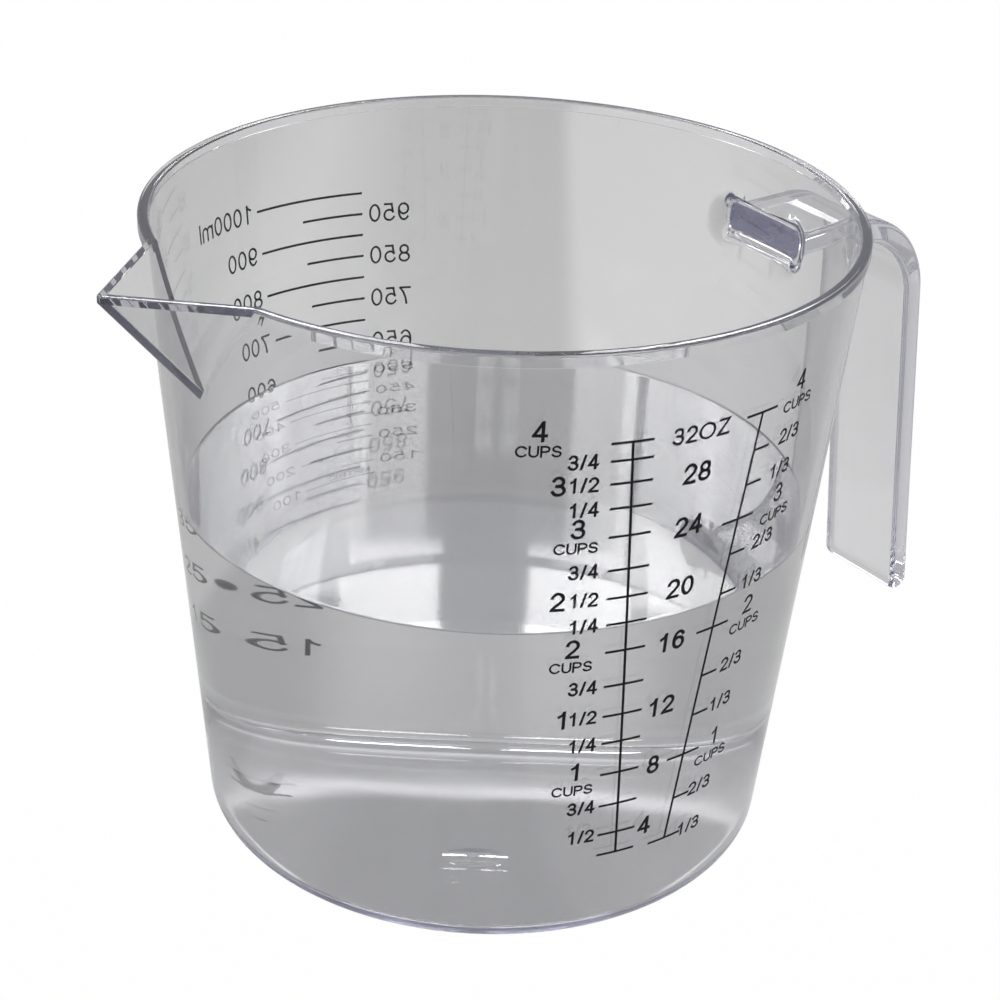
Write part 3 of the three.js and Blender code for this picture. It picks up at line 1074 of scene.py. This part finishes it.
def buildFloor():
    half = floorLook["size"] / 2
    mesh = bpy.data.meshes.new("floor")
    z = -floorLook["gap"] * mm
    corners = [(-half, -half, z), (half, -half, z), (half, half, z), (-half, half, z)]
    mesh.from_pydata(corners, [], [(0, 1, 2, 3)])
    material = bpy.data.materials.new("floor")
    material.use_nodes = True
    tree = material.node_tree
    shader = tree.nodes["Principled BSDF"]
    shader.inputs["Base Color"].default_value = floorLook["colour"]
    shader.inputs["Roughness"].default_value = floorLook["gloss"]
    white = tree.nodes.new("ShaderNodeEmission")
    either = tree.nodes.new("ShaderNodeMixShader")
    tree.links.new(whiteShare(tree), either.inputs["Fac"])
    tree.links.new(shader.outputs["BSDF"], either.inputs[1])
    tree.links.new(white.outputs["Emission"], either.inputs[2])
    tree.links.new(either.outputs["Shader"], tree.nodes["Material Output"].inputs["Surface"])
    return addObject("floor", mesh, material)


buildFloor()

# Two panels stand far behind the jug with a gap between them, each with a dimmer wing on its outer side.
# Soft light falls from above and from both sides.
lamps = [
    {"name": "leftPanel", "place": (2.209, 3.344, 2.383), "size": (0.233, 0.244), "power": 2.3},
    {"name": "leftPanelLow", "place": (2.191, 3.358, 2.017), "size": (0.187, 0.4), "power": 0.9},
    {"name": "leftPanelEdge", "place": (2.132, 3.402, 2.017), "size": (0.039, 0.4), "power": 0.2},
    {"name": "rightPanel", "place": (2.565, 3.078, 2.383), "size": (0.244, 0.244), "power": 2.2},
    {"name": "rightPanelLow", "place": (2.601, 3.051, 2.017), "size": (0.155, 0.4), "power": 0.75},
    {"name": "rightPanelEdge", "place": (2.650, 3.014, 2.017), "size": (0.031, 0.4), "power": 0.16},
    {"name": "leftWing", "place": (1.815, 3.638, 2.13), "size": (0.75, 0.5), "power": 8.5},
    {"name": "rightWing", "place": (2.977, 2.77, 2.13), "size": (0.75, 0.5), "power": 8.5},
    {"name": "leftTop", "place": (-0.231, 0.61, 1.4), "size": (0.28, 0.5), "power": 2.2},
    {"name": "rightTop", "place": (0.578, 0.005, 1.4), "size": (0.2, 0.5), "power": 1.6},
    {"name": "leftLamp", "place": (-0.95, 0.85, 1.15), "size": (0.6, 0.6), "power": 3.0},
    {"name": "rightLamp", "place": (1.2, -0.55, 1.15), "size": (0.6, 0.6), "power": 3.0},
]
aimPoint = Vector((0, 0, 0.06))


def buildLamp(setting):
    lamp = bpy.data.lights.new(setting["name"], "AREA")
    lamp.shape = "RECTANGLE"
    lamp.size, lamp.size_y = setting["size"]
    lamp.energy = setting["power"]
    holder = bpy.data.objects.new(setting["name"], lamp)
    scene.collection.objects.link(holder)
    place = Vector(setting["place"])
    facing = (aimPoint - place).to_track_quat("-Z", "Y").to_matrix().to_4x4()
    holder.matrix_world = Matrix.Translation(place) @ facing


for setting in lamps:
    buildLamp(setting)

# How bright the studio is at each share of the way up, with a thin bright band where the ceiling starts
worldLook = {
    "top": 3.0,
    "low": 0.5,
    "high": 0.62,
    "light": [(0.5, 0.72), (0.54, 0.68), (0.557, 0.68), (0.5605, 1.0), (0.562, 1.6), (0.5645, 1.6),
              (0.566, 0.57), (0.62, 0.57)],
}


# A pale studio under a grey ceiling
def buildWorld():
    world = bpy.data.worlds.new("studio")
    scene.world = world
    world.use_nodes = True
    tree = world.node_tree
    place = tree.nodes.new("ShaderNodeTexCoord")
    height = tree.nodes.new("ShaderNodeSeparateXYZ")
    tree.links.new(place.outputs["Generated"], height.inputs["Vector"])
    tone = rampNode(tree, worldLook["light"], worldLook["low"], worldLook["high"], worldLook["top"],
                    height.outputs["Z"])
    sky = tree.nodes["Background"]
    sky.inputs["Strength"].default_value = worldLook["top"]
    tree.links.new(tone, sky.inputs["Color"])


buildWorld()

cameraSetting = {
    "place": (-239.5, -320.1, 268.7),
    "heading": 36.8,
    "pitch": 27.28,
    "roll": 2.39,
    "lens": 85.9,
    "sensor": 36,
    "shift": 0.0065,
    "nearest": 0.01,
}


def buildCamera():
    lens = bpy.data.cameras.new("camera")
    lens.sensor_width = cameraSetting["sensor"]
    lens.lens = cameraSetting["lens"]
    lens.shift_x = cameraSetting["shift"]
    lens.clip_start = cameraSetting["nearest"]
    holder = bpy.data.objects.new("camera", lens)
    scene.collection.objects.link(holder)
    turn = Matrix.Rotation(math.radians(-cameraSetting["heading"]), 4, "Z")
    tip = Matrix.Rotation(math.radians(90 - cameraSetting["pitch"]), 4, "X")
    roll = Matrix.Rotation(math.radians(cameraSetting["roll"]), 4, "Z")
    holder.matrix_world = Matrix.Translation(Vector(cameraSetting["place"]) * mm) @ turn @ tip @ roll
    scene.camera = holder


buildCamera()
scene.view_settings.view_transform = "Standard"

# Light turns many times inside the clear walls before it leaves them
clearBounces = 64
scene.cycles.max_bounces = clearBounces
scene.cycles.transmission_bounces = clearBounces
scene.cycles.glossy_bounces = clearBounces
scene.cycles.transparent_max_bounces = 32

print("scene ready")
